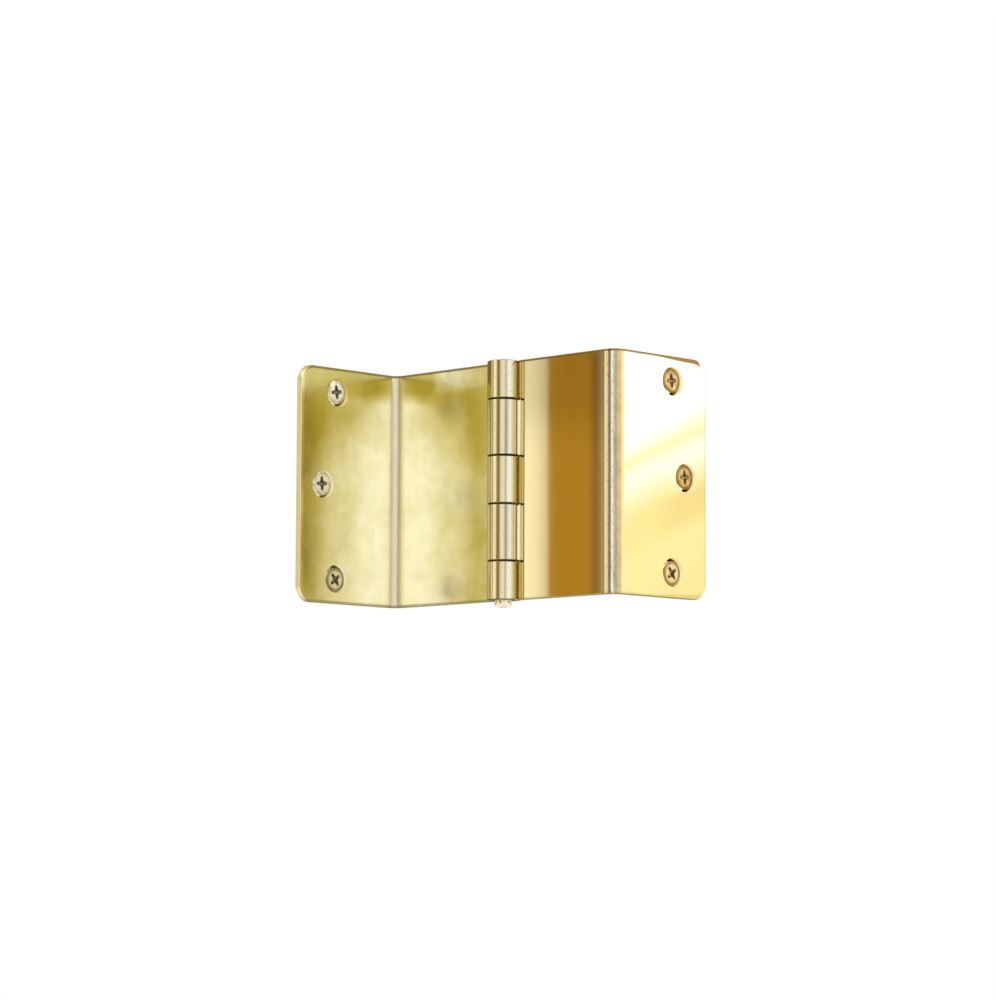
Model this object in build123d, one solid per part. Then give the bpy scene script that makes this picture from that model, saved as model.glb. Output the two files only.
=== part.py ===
from build123d import *
import os
from math import asin, atan2, degrees, radians, tan

# A swing-clear door hinge, open flat. Millimetres, +Z up along the pin.
# The origin is the centre of the face that lies on the jamb, and every solid is drawn about
# the pin's axis first and moved there last.

# The sheet that both leaves are bent from
SHEET = 2.4
LEAF_HEIGHT = 88.9
BEND_RADIUS = 2.8
CORNER_RADIUS = 6.35

# The leaves in plan, measured from the pin's axis
SWAGE = 1.0
JAMB_DEPTH = 50.5
DOOR_DEPTH = 48.2
JAMB_REACH = 55.0
NEST_GAP = 3.6
DOOR_REACH = JAMB_REACH + NEST_GAP + SHEET

# The pin and the knuckles rolled round it
PIN_RADIUS = 3.8
RUNNING_CLEARANCE = 0.05
KNUCKLE_ENDS = (8.95, 30.05, LEAF_HEIGHT / 2)
KNUCKLE_GAP = 0.4
STEP_START = 10.0
SEAM = 0.1
TIP_ROUND = 0.5
NOTCH_X = 7.4
NOTCH_ROUND = 0.8
PIN_DOME = 0.45
PIN_CHAMFER = 0.6
PIN_TIP = 2.5
PIN_TIP_SIDE = 1.0
PIN_TIP_RADIUS = 1.9

# Countersunk holes and wood screws
HOLE_HEIGHT = 35.1
END_HOLE_INSET = 18.4
MIDDLE_HOLE_INSET = 11.3
SINK_RADIUS = 5.3
SINK_SLOPE = tan(radians(41))
HEAD_RADIUS = 4.5
HEAD_RIM = 0.15
HEAD_DEPTH = 0.4
HEAD_DRIFT = 0.3
SHANK_RADIUS = 2.25
SHANK_LENGTH = 4.5
THREAD_RADIUS = 2.0
THREAD_END = 9.2
SCREW_LENGTH = 12.7
RECESS_REACH = 2.6
RECESS_FLOOR = 1.1
RECESS_WIDTH = 1.05
RECESS_DEPTH = 1.9
RECESS_TURNS = (8, 4, 38)

MOUNT_DEPTH_START = SWAGE + SHEET + BEND_RADIUS
TO_ORIGIN = Pos(SHEET - JAMB_REACH, -(MOUNT_DEPTH_START + JAMB_DEPTH) / 2, 0)


def bent_sheet(centre, inner_radius, start, sweep):
    """A stretch of bent sheet in plan: one sheet thick, from angle start through sweep."""
    outer = CenterArc(centre, inner_radius + SHEET, start, sweep)
    inner = CenterArc(centre, inner_radius, start, sweep)
    ends = [Line(outer @ 0, inner @ 0), Line(outer @ 1, inner @ 1)]
    return make_face([outer, inner] + ends)


def flat_sheet(x_start, x_end, y_start, y_end):
    """A straight stretch of sheet in plan."""
    middle = Pos((x_start + x_end) / 2, (y_start + y_end) / 2)
    return middle * Rectangle(x_end - x_start, y_end - y_start)


def rolled_knuckle(bore_radius):
    """A knuckle in plan: the sheet steps back from the swaged panel, rolls round the pin and
    ends in a seam on the step's own outer side."""
    ring = bore_radius + SHEET / 2
    level = SWAGE + SHEET / 2
    bend = (STEP_START**2 + level**2 - ring**2) / (2 * (ring - level))
    centre = (STEP_START, level + bend)
    start = degrees(atan2(level + bend, STEP_START))
    step = bent_sheet(centre, bend - SHEET / 2, 180 + start, 90 - start)
    back = bent_sheet((0, 0), bore_radius, start, 180 - start)
    front = bent_sheet((0, 0), bore_radius, 180, 180 + start)
    front -= Pos(*centre) * Circle(bend + SHEET / 2 + SEAM)
    tip = front.vertices().sort_by(Axis.X)[-1]
    front = fillet(tip, TIP_ROUND)
    return back + front + step


def jamb_panels():
    """The jamb leaf's two panels in plan, with the fold's outer side to the front."""
    fold_x = JAMB_REACH - SHEET - BEND_RADIUS
    inner = flat_sheet(STEP_START, fold_x, SWAGE, SWAGE + SHEET)
    fold = bent_sheet((fold_x, MOUNT_DEPTH_START), BEND_RADIUS, -90, 90)
    outer = flat_sheet(JAMB_REACH - SHEET, JAMB_REACH, MOUNT_DEPTH_START, JAMB_DEPTH)
    return inner + fold + outer


def door_panels():
    """The door leaf's two panels in plan, drawn to the right, folded to the front."""
    fold_x = DOOR_REACH - SHEET - BEND_RADIUS
    fold_y = SWAGE - BEND_RADIUS
    inner = flat_sheet(STEP_START, fold_x, SWAGE, SWAGE + SHEET)
    fold = bent_sheet((fold_x, fold_y), BEND_RADIUS, 90, -90)
    outer = flat_sheet(DOOR_REACH - SHEET, DOOR_REACH, -DOOR_DEPTH, fold_y)
    return inner + fold + outer


def raise_section(section, low, high):
    """The section made solid between two heights."""
    return Pos(0, 0, low) * extrude(section, high - low)


def notch(low, high):
    """The cutter of the room for one of the other leaf's knuckles, its two roots eased."""
    room = Box(4 * NOTCH_X, 4 * NOTCH_X, high - low)
    room = Pos(-NOTCH_X, 0, (low + high) / 2) * room
    roots = room.edges().filter_by(Axis.Y).group_by(Axis.X)[-1]
    return fillet(roots, NOTCH_ROUND)


def round_corners(leaf, depth):
    """The leaf with its far corners, at that depth from the pin, cut round."""
    ends = leaf.edges().filter_by(Axis.X).filter_by(
        lambda edge: abs(edge.center().Y) > depth - 0.01
    )
    return fillet(ends, CORNER_RADIUS)


def hole_places(side):
    """Depth and height of the three screw holes: side is +1 behind the pin, -1 before it."""
    depth = JAMB_DEPTH if side > 0 else DOOR_DEPTH
    end_y = side * (depth - END_HOLE_INSET)
    middle_y = side * (depth - MIDDLE_HOLE_INSET)
    return ((end_y, HOLE_HEIGHT), (middle_y, 0), (end_y, -HOLE_HEIGHT))


def countersink():
    """The cutter of one screw hole, from its wide mouth at z = 0 down through the sheet."""
    return Cone(
        SINK_RADIUS - SHEET * SINK_SLOPE,
        SINK_RADIUS,
        SHEET,
        align=(Align.CENTER, Align.CENTER, Align.MAX),
    )


def jamb_leaf():
    """The leaf that stays still: its panels, knuckles one, three and five, and its holes."""
    inner_end, middle_end, leaf_end = KNUCKLE_ENDS
    half_gap = KNUCKLE_GAP / 2
    section = jamb_panels() + rolled_knuckle(PIN_RADIUS)
    leaf = round_corners(raise_section(section, -leaf_end, leaf_end), JAMB_DEPTH)
    leaf -= notch(inner_end - half_gap, middle_end + half_gap)
    leaf -= notch(-middle_end - half_gap, half_gap - inner_end)
    for y, z in hole_places(1):
        leaf -= Pos(JAMB_REACH, y, z) * Rot(0, 90, 0) * countersink()
    return leaf


def door_leaf():
    """The leaf that swings: its panels, knuckles two and four, and its holes."""
    inner_end, middle_end, leaf_end = KNUCKLE_ENDS
    half_gap = KNUCKLE_GAP / 2
    section = door_panels() + rolled_knuckle(PIN_RADIUS + RUNNING_CLEARANCE)
    leaf = round_corners(raise_section(section, -leaf_end, leaf_end), DOOR_DEPTH)
    leaf -= notch(-inner_end - half_gap, inner_end + half_gap)
    leaf -= notch(middle_end - half_gap, leaf_end + NOTCH_X)
    leaf -= notch(-leaf_end - NOTCH_X, half_gap - middle_end)
    leaf = mirror(leaf, Plane.YZ)
    for y, z in hole_places(-1):
        leaf -= Pos(SHEET - DOOR_REACH, y, z) * Rot(0, 90, 0) * countersink()
    return leaf


def hinge_pin():
    """The pin: a low dome flush with the top knuckle and a rounded tip below the bottom one."""
    top = LEAF_HEIGHT / 2
    tip = -top - PIN_TIP
    dome_radius = (PIN_RADIUS**2 + PIN_DOME**2) / (2 * PIN_DOME)
    half_angle = degrees(asin(PIN_RADIUS / dome_radius))
    dome_centre = (0, top + PIN_DOME - dome_radius)
    dome = CenterArc(dome_centre, dome_radius, 90 - half_angle, half_angle)
    neck_radius = PIN_RADIUS - PIN_CHAMFER
    side = Line((PIN_RADIUS, top), (PIN_RADIUS, PIN_CHAMFER - top))
    chamfer = Line((PIN_RADIUS, PIN_CHAMFER - top), (neck_radius, -top))
    neck = Line((neck_radius, -top), (neck_radius, -top - PIN_TIP_SIDE))
    nose = TangentArc(neck @ 1, (PIN_TIP_RADIUS, tip), tangent=(0, -1))
    end = Line((PIN_TIP_RADIUS, tip), (0, tip))
    core = Line((0, tip), (0, top + PIN_DOME))
    outline = [dome, side, chamfer, neck, nose, end, core]
    return revolve(Plane.XZ * make_face(outline), Axis.Z)


def cross_recess():
    """The cutter of a cross recess: two crossed wings that narrow towards the bottom."""
    wing = Polyline(
        (-RECESS_REACH, 0),
        (RECESS_REACH, 0),
        (RECESS_FLOOR, -RECESS_DEPTH),
        (-RECESS_FLOOR, -RECESS_DEPTH),
        close=True,
    )
    blade = extrude(Plane.XZ * make_face(wing), RECESS_WIDTH / 2, both=True)
    return blade + Rot(0, 0, 90) * blade


def wood_screw():
    """A flat-head wood screw, its head's top at z = 0 and its point down the Z axis."""
    cone_end = HEAD_RIM + (HEAD_RADIUS - SHANK_RADIUS) / SINK_SLOPE
    outline = Polyline(
        (0, 0),
        (HEAD_RADIUS, 0),
        (HEAD_RADIUS, -HEAD_RIM),
        (SHANK_RADIUS, -cone_end),
        (SHANK_RADIUS, -SHANK_LENGTH),
        (THREAD_RADIUS, -SHANK_LENGTH - 0.5),
        (THREAD_RADIUS, -THREAD_END),
        (0, -SCREW_LENGTH),
        close=True,
    )
    return revolve(Plane.XZ * make_face(outline), Axis.Z) - cross_recess()


def screws(face_x, side):
    """Three screws in the holes of one leaf, their heads drifted a little from the centres."""
    group = []
    for (y, z), turn in zip(hole_places(side), RECESS_TURNS):
        drift = HEAD_DRIFT if z >= 0 else -HEAD_DRIFT
        place = Pos(face_x - HEAD_DEPTH, y, z + drift) * Rot(0, 90, 0)
        group.append(place * Rot(0, 0, turn) * wood_screw())
    return group


def main():
    pieces = {
        "jamb_leaf": [jamb_leaf()],
        "door_leaf": [door_leaf()],
        "hinge_pin": [hinge_pin()],
        "jamb_leaf_screws": screws(JAMB_REACH, 1),
        "door_leaf_screws": screws(SHEET - DOOR_REACH, -1),
    }
    os.makedirs("parts", exist_ok=True)
    for name, solids in pieces.items():
        placed = [TO_ORIGIN * solid for solid in solids]
        whole = placed[0] if len(placed) == 1 else Compound(children=placed)
        export_step(whole, f"parts/{name}.step")


main()
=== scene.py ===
import math

import bmesh
import bpy
from mathutils import Matrix, Vector


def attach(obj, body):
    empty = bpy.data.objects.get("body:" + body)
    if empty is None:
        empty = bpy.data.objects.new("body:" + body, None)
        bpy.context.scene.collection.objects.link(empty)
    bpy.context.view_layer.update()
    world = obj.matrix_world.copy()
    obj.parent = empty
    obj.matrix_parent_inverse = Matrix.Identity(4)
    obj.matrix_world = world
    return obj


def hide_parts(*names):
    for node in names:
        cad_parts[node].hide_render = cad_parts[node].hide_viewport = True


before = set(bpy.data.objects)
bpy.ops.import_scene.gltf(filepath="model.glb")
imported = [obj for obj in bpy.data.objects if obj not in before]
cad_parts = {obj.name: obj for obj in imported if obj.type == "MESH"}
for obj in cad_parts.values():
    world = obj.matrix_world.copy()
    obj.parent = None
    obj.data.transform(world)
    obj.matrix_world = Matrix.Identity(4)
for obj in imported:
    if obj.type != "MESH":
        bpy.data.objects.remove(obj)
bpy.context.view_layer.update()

# Lengths are in millimetres about the pin's axis, as in the CAD source, until a mesh is written
MM = 0.001
PIN_PLACE = Vector((-52.6, -28.35, 0.0))

# The sheet and the folds
SHEET = 2.4
HALF_SHEET = SHEET / 2
HALF_HEIGHT = 44.45
FOLD_RADIUS = 2.8
STEP_START = 10.0
CORNER_RADIUS = 6.35
SWAGE = 1.0
JAMB_DEPTH = 50.5
DOOR_DEPTH = 48.2
JAMB_REACH = 55.0
DOOR_REACH = 61.0
NOTCH_X = 7.4
NOTCH_ROUND = 0.8
SEAM = 0.1
PIN_RADIUS = 3.8
RUNNING_CLEARANCE = 0.05
PIN_DOME = 0.45
TIP_LENGTH = 2.5
TIP_SIDE_LENGTH = 1.0
TIP_SIDE_RADIUS = 3.2
TIP_FLAT_RADIUS = 1.9
TIP_EDGE = 0.15
JAMB_TABS = ((-44.45, -30.25), (-8.75, 8.75), (30.25, 44.45))
DOOR_TABS = ((-29.85, -9.15), (9.15, 29.85))

# The pin's chamfer over its tip as (radius, height from the leaves' lower ends, facing)
PIN_CHAMFER = ((3.8, 0.65, 90), (3.7, 0.5, 135), (3.3, 0.1, 135), (3.2, -0.05, 90))

# Finish of the stamped edges, and how strongly they are marked where they turn from a face by
# FLAT_ANGLE or more; the mark darkens them, partly as abraded edges and partly as painted
# reflection and painted shade
EDGE_ROUND = 0.35
SINK_ROUND = 0.15
SMALL_CORNER = 0.5
FLAT_ANGLE = 0.01
EDGE_RIM_SHARE = 1.0
SINK_RIM_SHARE = 0.15
ROLL_TIP = 2.5

# How finely curves are divided: steps of an arc, degrees of a bend, sides of a circle
ROUND_STEPS = 4
BEND_STEP = 3.0
DOME_STEPS = 8
NOSE_STEPS = 12
SINK_SIDES = 72
PIN_SIDES = 96
SCREW_SIDES = 48

# Where the three holes are on a flat blank: from the leaf's free edge and up from its middle
HOLES = ((18.4, 35.1), (11.3, 0), (18.4, -35.1))
SINK_RADIUS = 5.3
SINK_ANGLE = 41.0

# Screws, with their heads' edges as (radius, height) rows
HEAD_DEPTH = 0.4
HEAD_DRIFT = 0.3
HEAD_TURNS = (8, 4, 38)
HEAD_RADIUS = 4.5
HEAD_RIM = 0.3
HEAD_ROWS = ((4.25, 0.0), (4.4, -0.03), (4.48, -0.09), (4.5, -0.17), (4.5, -0.22), (4.46, -0.3))
CONE_STEPS = 6
NECK_LENGTH = 0.2
POINT_LENGTH = 0.15
SCREW_LENGTH = 12.7
SCREW_ROW = 0.13
SHANK_RADIUS = 2.2
THREAD_START = 3.9
THREAD_RUN_IN = 1.4
THREAD_DEPTH = 0.65
THREAD_PITCH = 1.8
RIDGE_WIDTH = 0.24
ROOT_TAPER = 5.0
CREST_TAPER = 3.4

# The cross recess as (reach, half width, height) from above its mouth down to its floor, and
# the part of a screw that is in it
RECESS_LEVELS = ((2.95, 0.8, 0.4), (2.62, 0.6, -0.08), (1.5, 0.45, -1.45), (0.35, 0.2, -1.95))
RECESS_SHOULDER = 0.24
RECESS_RADIUS = 3.0
RECESS_HEIGHTS = (-2.3, -0.04)


def walk(path, s):
    """Place and heading on a plan path after a length s: straights and arcs in turn."""
    x, y, heading, pieces = path
    for length, turn in pieces:
        last = (length, turn) == pieces[-1]
        step = s if last else min(s, length)
        bend = math.radians(turn) / length
        if turn:
            after = heading + bend * step
            x += (math.sin(after) - math.sin(heading)) / bend
            y -= (math.cos(after) - math.cos(heading)) / bend
            heading = after
        else:
            x += step * math.cos(heading)
            y += step * math.sin(heading)
        s -= step
        if s <= 0:
            break
    return x, y, heading


def leaf_path(outer_start, outer_length, turn, bore_radius):
    """The middle of a leaf's sheet in plan, from its free edge to the end of its roll. It
    starts off at the angle by which it folds. Also how much the roll's end leans."""
    fold_x = outer_start[0] - HALF_SHEET - FOLD_RADIUS
    ring = bore_radius + HALF_SHEET
    level = SWAGE + HALF_SHEET
    bend = (STEP_START**2 + level**2 - ring**2) / (2 * (ring - level))
    start = math.degrees(math.atan2(level + bend, STEP_START))
    cut = bend + HALF_SHEET + SEAM
    far = ring + bend

    def end_angle(radius):
        cosine = (radius**2 + far**2 - cut**2) / (2 * radius * far)
        return 360 + start - math.degrees(math.acos(cosine))

    outside_end = end_angle(ring + HALF_SHEET)
    inside_end = end_angle(bore_radius)
    pieces = (
        (outer_length, 0),
        ((FOLD_RADIUS + HALF_SHEET) * math.pi / 2, turn),
        (fold_x - STEP_START, 0),
        (bend * math.radians(90 - start), start - 90),
        (ring * math.radians(outside_end - start), outside_end - start),
    )
    path = (*outer_start, math.radians(turn), pieces)
    lean = ring * math.radians(inside_end - outside_end) / SHEET
    return path, lean


def rounded_loop(corners):
    """A closed outline with rounded corners: points and the directions away from the metal."""
    points = []
    outward = []
    count = len(corners)
    for i, (s, z, radius) in enumerate(corners):
        corner = Vector((s, z))
        back = (Vector(corners[i - 1][:2]) - corner).normalized()
        ahead = (Vector(corners[(i + 1) % count][:2]) - corner).normalized()
        convex = back.x * ahead.y - back.y * ahead.x < 0
        centre = corner + (back + ahead) * radius
        steps = max(ROUND_STEPS, math.ceil(radius * 4))
        first, last = -ahead, -back
        start = math.atan2(first.y, first.x)
        sweep = math.atan2(first.x * last.y - first.y * last.x, first.dot(last))
        for k in range(steps + 1):
            angle = start + sweep * k / steps
            ray = Vector((math.cos(angle), math.sin(angle)))
            points.append(centre + ray * radius)
            outward.append(ray if convex else -ray)
    return points, outward


def circle_loop(centre, radius, count):
    """A hole's outline, with the directions towards its middle."""
    points = []
    outward = []
    for k in range(count):
        angle = -2 * math.pi * k / count
        ray = Vector((math.cos(angle), math.sin(angle)))
        points.append(Vector(centre) + ray * radius)
        outward.append(-ray)
    return points, outward


def rounding(centre, radius, start, end):
    """Points of one rounded edge: how far out, at what depth, and which way it faces."""
    steps = ROUND_STEPS if end - start < 100 else 2 * ROUND_STEPS
    angles = [math.radians(start + (end - start) * k / steps) for k in range(steps + 1)]
    return [
        (centre[0] + radius * math.sin(a), centre[1] + radius * math.cos(a), a)
        for a in angles
    ]


def square_edge():
    """The section of a stamped edge, square with its two edges rounded."""
    depth = HALF_SHEET - EDGE_ROUND
    front = rounding((-EDGE_ROUND, depth), EDGE_ROUND, 0, 90)
    return front + rounding((-EDGE_ROUND, -depth), EDGE_ROUND, 90, 180)


def sink_edge():
    """The section of a countersunk hole's edge, from the leaf's face to its back."""
    radius = SINK_ROUND
    facing = 90 - SINK_ANGLE
    narrow = SHEET * math.tan(math.radians(SINK_ANGLE))
    mouth = -radius * math.tan(math.radians(facing / 2))
    throat = narrow - radius * math.tan(math.radians((180 - facing) / 2))
    front = rounding((mouth, HALF_SHEET - radius), radius, 0, facing)
    return front + rounding((throat, radius - HALF_SHEET), radius, facing, 180)


def add_edge(bm, layers, loop, section, rim_share):
    """Sweeps an edge's section round an outline. Returns its first and last rings of points."""
    points, outward = loop
    count = len(points)
    rings = []
    for out, depth, angle in section:
        ring = []
        for point, ray in zip(points, outward):
            place = point + ray * out
            vert = bm.verts.new((place.x, place.y, depth))
            across = ray * math.sin(angle)
            vert[layers["facing"]] = (across.x, across.y, math.cos(angle))
            turned_away = FLAT_ANGLE < angle < math.pi - FLAT_ANGLE
            vert[layers["rim"]] = rim_share if turned_away else 0.0
            ring.append(vert)
        rings.append(ring)
    for low, high in zip(rings, rings[1:]):
        for i in range(count):
            j = (i + 1) % count
            bm.faces.new((low[i], low[j], high[j], high[i]))
    return rings[0], rings[-1]


def add_face(bm, rings, facing):
    """Fills the flat face between an outline and its holes."""
    edges = []
    for ring in rings:
        for i, vert in enumerate(ring):
            edges.append(bm.edges.get((ring[i - 1], vert)))
    bmesh.ops.triangle_fill(bm, use_beauty=True, edges=edges, normal=(0, 0, facing))


def bend_lines(path):
    """The lengths along a leaf at which its bends are divided."""
    lines = []
    s = 0
    for length, turn in path[3]:
        steps = max(1, math.ceil(abs(turn) / BEND_STEP))
        lines += [s + length * k / steps for k in range(steps + 1)]
        s += length
    return sorted(set(round(line, 6) for line in lines))[1:-1]


def leaf_mesh(name, path, lean, tabs, mirrored):
    """One leaf: a flat blank with its holes, cut into strips and bent along its path."""
    root = sum(piece[0] for piece in path[3][:3]) + STEP_START - NOTCH_X
    tip = sum(piece[0] for piece in path[3])
    corners = blank_corners(tabs, root, tip)
    bm = bmesh.new()
    layers = {
        "facing": bm.verts.layers.float_vector.new("facing"),
        "rim": bm.verts.layers.float.new("rim"),
    }
    rings = [add_edge(bm, layers, rounded_loop(corners), square_edge(), EDGE_RIM_SHARE)]
    for hole in HOLES:
        loop = circle_loop(hole, SINK_RADIUS, SINK_SIDES)
        rings.append(add_edge(bm, layers, loop, sink_edge(), SINK_RIM_SHARE))
    for facing, face_rings in zip((1, -1), zip(*rings)):
        add_face(bm, face_rings, facing)
    for line in bend_lines(path):
        everything = bm.verts[:] + bm.edges[:] + bm.faces[:]
        bmesh.ops.bisect_plane(
            bm, geom=everything, dist=1e-5, plane_co=(line, 0, 0), plane_no=(1, 0, 0)
        )
    return bend_blank(name, bm, layers, path, lean, tip, mirrored)


def blank_corners(tabs, root, tip):
    """The corners of a flat blank: its panel, and a tab for each of its knuckles."""
    corners = [(0, -HALF_HEIGHT, CORNER_RADIUS)]
    if tabs[0][0] > -HALF_HEIGHT:
        corners.append((root, -HALF_HEIGHT, SMALL_CORNER))
    for low, high in tabs:
        if low > -HALF_HEIGHT:
            corners.append((root, low, NOTCH_ROUND))
        corners.append((tip, low, SMALL_CORNER))
        corners.append((tip, high, SMALL_CORNER))
        if high < HALF_HEIGHT:
            corners.append((root, high, NOTCH_ROUND))
    if tabs[-1][1] < HALF_HEIGHT:
        corners.append((root, HALF_HEIGHT, SMALL_CORNER))
    corners.append((0, HALF_HEIGHT, CORNER_RADIUS))
    return corners


def object_of(name, bm):
    """An object made of a bmesh, which is freed."""
    mesh = bpy.data.meshes.new(name)
    bm.to_mesh(mesh)
    bm.free()
    made = bpy.data.objects.new(name, mesh)
    bpy.context.scene.collection.objects.link(made)
    return made


def faced_object(name, bm, facings):
    """A smooth closed solid, with the facing that is worked out for each of its points."""
    bmesh.ops.recalc_face_normals(bm, faces=bm.faces)
    if bm.calc_volume(signed=True) < 0:
        bmesh.ops.reverse_faces(bm, faces=bm.faces)
    made = object_of(name, bm)
    made.data.shade_smooth()
    made.data.normals_split_custom_set_from_vertices(facings)
    return made


def bend_blank(name, bm, layers, path, lean, tip, mirrored):
    """Bends the flat blank along its path. Each point keeps its place on the flat blank, and
    the roll's end leans to lie along the step."""
    flat = bm.verts.layers.float_vector.new("flat")
    side = -1 if mirrored else 1
    facings = []
    for vert in bm.verts:
        s, z, depth = vert.co
        along, up, out = vert[layers["facing"]]
        share = max(0.0, min(1.0, (s - tip + ROLL_TIP) / ROLL_TIP))
        slope = lean * share
        s += slope * (depth + HALF_SHEET)
        out -= slope * along
        x, y, heading = walk(path, s)
        ahead = Vector((math.cos(heading), math.sin(heading), 0))
        left = Vector((-math.sin(heading), math.cos(heading), 0))
        place = Vector((x, y, z)) + left * depth
        facing = ahead * along + Vector((0, 0, up)) + left * out
        place.x *= side
        facing.x *= side
        vert[flat] = Vector((s, z, depth)) * MM
        vert.co = (place + PIN_PLACE) * MM
        facings.append(facing.normalized())
    return faced_object(name, bm, facings)


def leaf_places(path):
    """The lengths along a leaf, in metres, to its fold's middle, step, roll and roll's end."""
    lengths = [piece[0] * MM for piece in path[3]]
    return lengths[0] + lengths[1] / 2, sum(lengths[:3]), sum(lengths[:4]), sum(lengths)


def make_leaves():
    """Both leaves, with the CAD's own folds, and the paths that they follow."""
    start = (JAMB_REACH - HALF_SHEET, JAMB_DEPTH)
    length = JAMB_DEPTH - SWAGE - SHEET - FOLD_RADIUS
    jamb_path, jamb_lean = leaf_path(start, length, -90, PIN_RADIUS)
    start = (DOOR_REACH - HALF_SHEET, -DOOR_DEPTH)
    length = DOOR_DEPTH + SWAGE - FOLD_RADIUS
    door_path, door_lean = leaf_path(start, length, 90, PIN_RADIUS + RUNNING_CLEARANCE)
    jamb = leaf_mesh("jamb_leaf_sheet", jamb_path, jamb_lean, JAMB_TABS, False)
    door = leaf_mesh("door_leaf_sheet", door_path, door_lean, DOOR_TABS, True)
    return jamb, door, jamb_path, door_path


def turned(bm, facing, profile, count):
    """A turned solid: its profile goes from the top of the axis to its bottom."""
    rings = []
    for radius, height, angle in profile:
        if radius == 0:
            vert = bm.verts.new((0, 0, height))
            vert[facing] = (0, 0, math.cos(angle))
            rings.append([vert])
            continue
        ring = []
        for k in range(count):
            turn = 2 * math.pi * k / count
            ray = Vector((math.cos(turn), math.sin(turn), 0))
            vert = bm.verts.new(ray * radius + Vector((0, 0, height)))
            vert[facing] = ray * math.sin(angle) + Vector((0, 0, math.cos(angle)))
            ring.append(vert)
        rings.append(ring)
    for high, low in zip(rings, rings[1:]):
        for k in range(count):
            j = (k + 1) % count
            corners = [high[k % len(high)], low[k % len(low)]]
            if len(low) > 1:
                corners.append(low[j])
            if len(high) > 1:
                corners.append(high[j])
            bm.faces.new(corners)


def pin_profile():
    """The pin from its domed top to its rounded tip, as (radius, height, facing) rows."""
    dome = (PIN_RADIUS**2 + PIN_DOME**2) / (2 * PIN_DOME)
    edge = math.asin(PIN_RADIUS / dome)
    profile = []
    for k in range(DOME_STEPS + 1):
        angle = edge * k / DOME_STEPS
        height = HALF_HEIGHT + PIN_DOME - dome * (1 - math.cos(angle))
        profile.append((dome * math.sin(angle), height, angle))
    profile.append((PIN_RADIUS, HALF_HEIGHT, math.pi / 2))
    for radius, height, facing in PIN_CHAMFER:
        profile.append((radius, height - HALF_HEIGHT, math.radians(facing)))
    drop = TIP_LENGTH - TIP_SIDE_LENGTH
    across = TIP_SIDE_RADIUS - TIP_FLAT_RADIUS
    nose = (drop**2 + across**2) / (2 * across)
    sweep = math.asin(drop / nose)
    for k in range(NOSE_STEPS + 1):
        angle = sweep * k / NOSE_STEPS
        place = TIP_SIDE_RADIUS - nose * (1 - math.cos(angle))
        height = -HALF_HEIGHT - TIP_SIDE_LENGTH - nose * math.sin(angle)
        profile.append((place, height, math.pi / 2 + angle))
    end = -HALF_HEIGHT - TIP_LENGTH
    profile.append((TIP_FLAT_RADIUS - TIP_EDGE, end - 0.0001, math.pi))
    profile.append((0, end - 0.0002, math.pi))
    return profile


def make_pin():
    """The pin, with a facing worked out for each point."""
    bm = bmesh.new()
    facing = bm.verts.layers.float_vector.new("facing")
    turned(bm, facing, pin_profile(), PIN_SIDES)
    facings = []
    for vert in bm.verts:
        facings.append(Vector(vert[facing]).normalized())
        vert.co = (vert.co + PIN_PLACE) * MM
    return faced_object("hinge_pin_steel", bm, facings)


def screw_row(height):
    """The root and crest radius of a wood screw at a height below its head."""
    start = min(1.0, max(0.0, (-height - THREAD_START) / THREAD_RUN_IN))
    left = height + SCREW_LENGTH
    root = (SHANK_RADIUS - THREAD_DEPTH * start) * min(1.0, left / ROOT_TAPER) ** 0.8
    return root, SHANK_RADIUS * min(1.0, left / CREST_TAPER) ** 0.7


def screw_rings():
    """The rings of a wood screw, from its head down, as (radius, height) at each side."""
    neck = HEAD_RIM + (HEAD_RADIUS - SHANK_RADIUS) / math.tan(math.radians(SINK_ANGLE))
    rows = list(HEAD_ROWS)
    for k in range(1, CONE_STEPS + 1):
        share = k / CONE_STEPS
        radius = HEAD_RADIUS - (HEAD_RADIUS - SHANK_RADIUS) * share
        rows.append((radius, -HEAD_RIM - (neck - HEAD_RIM) * share))
    rows.append((SHANK_RADIUS, -neck - NECK_LENGTH))
    rings = [[row] * SCREW_SIDES for row in rows]
    first = rows[-1][1] - SCREW_ROW
    for i in range(round((SCREW_LENGTH - POINT_LENGTH + first) / SCREW_ROW)):
        height = first - SCREW_ROW * i
        root, crest = screw_row(height)
        ring = []
        for k in range(SCREW_SIDES):
            phase = (height / THREAD_PITCH + k / SCREW_SIDES) % 1
            ridge = max(0.0, 1 - abs(phase - 0.5) / RIDGE_WIDTH)
            ring.append((root + max(0.0, crest - root) * ridge**0.85, height))
        rings.append(ring)
    return rings


def screw_body():
    """A wood screw with its thread: head's top at z = 0 and its point down."""
    bm = bmesh.new()
    top = bm.verts.new((0, 0, 0))
    solid = []
    for ring in screw_rings():
        made = []
        for k, (radius, height) in enumerate(ring):
            turn = 2 * math.pi * k / SCREW_SIDES
            place = (radius * math.cos(turn), radius * math.sin(turn), height)
            made.append(bm.verts.new(place))
        solid.append(made)
    point = bm.verts.new((0, 0, -SCREW_LENGTH))
    for k in range(SCREW_SIDES):
        j = (k + 1) % SCREW_SIDES
        bm.faces.new((top, solid[0][k], solid[0][j]))
        bm.faces.new((point, solid[-1][j], solid[-1][k]))
        for high, low in zip(solid, solid[1:]):
            bm.faces.new((high[k], low[k], low[j], high[j]))
    bmesh.ops.recalc_face_normals(bm, faces=bm.faces)
    return bm


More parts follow.
